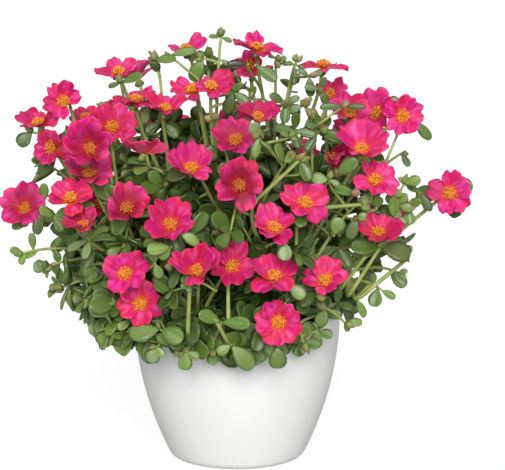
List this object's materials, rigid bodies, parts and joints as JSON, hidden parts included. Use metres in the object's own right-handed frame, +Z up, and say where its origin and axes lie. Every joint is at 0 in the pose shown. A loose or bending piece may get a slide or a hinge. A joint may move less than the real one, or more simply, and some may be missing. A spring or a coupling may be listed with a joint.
{
  "type": "potted portulaca",
  "caption": "Round bushy portulaca in full bloom, with fleshy leaves and open cupped flowers, standing in a plain tapered pot.",
  "frame": {"origin": "centre of the pot's flat underside, on the pot's axis", "axes": "+Z up along the pot's axis, -Y towards the plant's front, +X to the right as seen from the front"},
  "size_m": [0.3653, 0.2984, 0.3401],
  "materials": {
    "pot_plastic": "smooth satin white",
    "potting_mix": "dark crumbly peat mix",
    "greenery": "fleshy waxy green leaves on olive stems",
    "petals": "thin silky magenta pink petals round orange stamens"
  },
  "bodies": {
    "root": {"pot": "pot_plastic", "soil": "potting_mix", "shoot_left": "greenery", "shoot_left_front": "greenery", "shoot_left_top": "greenery", "shoot_top": "greenery", "shoot_top_right": "greenery", "shoot_right_top": "greenery", "shoot_right": "greenery", "shoot_front_right": "greenery", "shoot_front_top": "greenery", "shoot_front_left": "greenery", "shoot_back_right": "greenery", "shoot_back": "greenery", "shoot_back_left": "greenery", "bloom_left_1": "petals", "bloom_left_2": "petals", "bloom_left_3": "petals", "bloom_left_4": "petals", "bloom_left_5": "petals", "bloom_left_front_1": "petals", "bloom_left_front_2": "petals", "bloom_left_front_3": "petals", "bloom_left_front_4": "petals", "bloom_left_front_5": "petals", "bloom_left_front_6": "petals", "bloom_left_front_7": "petals", "bloom_left_top_1": "petals", "bloom_left_top_2": "petals", "bloom_left_top_3": "petals", "bloom_left_top_4": "petals", "bloom_top_1": "petals", "bloom_top_2": "petals", "bloom_top_3": "petals", "bloom_top_right_1": "petals", "bloom_top_right_2": "petals", "bloom_top_right_3": "petals", "bloom_top_right_4": "petals", "bloom_right_top_1": "petals", "bloom_right_top_2": "petals", "bloom_right_top_3": "petals", "bloom_right_top_4": "petals", "bloom_right_top_5": "petals", "bloom_right_1": "petals", "bloom_right_2": "petals", "bloom_right_3": "petals", "bloom_front_right_1": "petals", "bloom_front_right_2": "petals", "bloom_front_right_3": "petals", "bloom_front_right_4": "petals", "bloom_front_right_5": "petals", "bloom_front_top_1": "petals", "bloom_front_top_2": "petals", "bloom_front_top_3": "petals", "bloom_front_top_4": "petals", "bloom_front_left_1": "petals", "bloom_front_left_2": "petals", "bloom_front_left_3": "petals", "bloom_front_left_4": "petals", "bloom_front_left_5": "petals"}
  },
  "joints": []
}
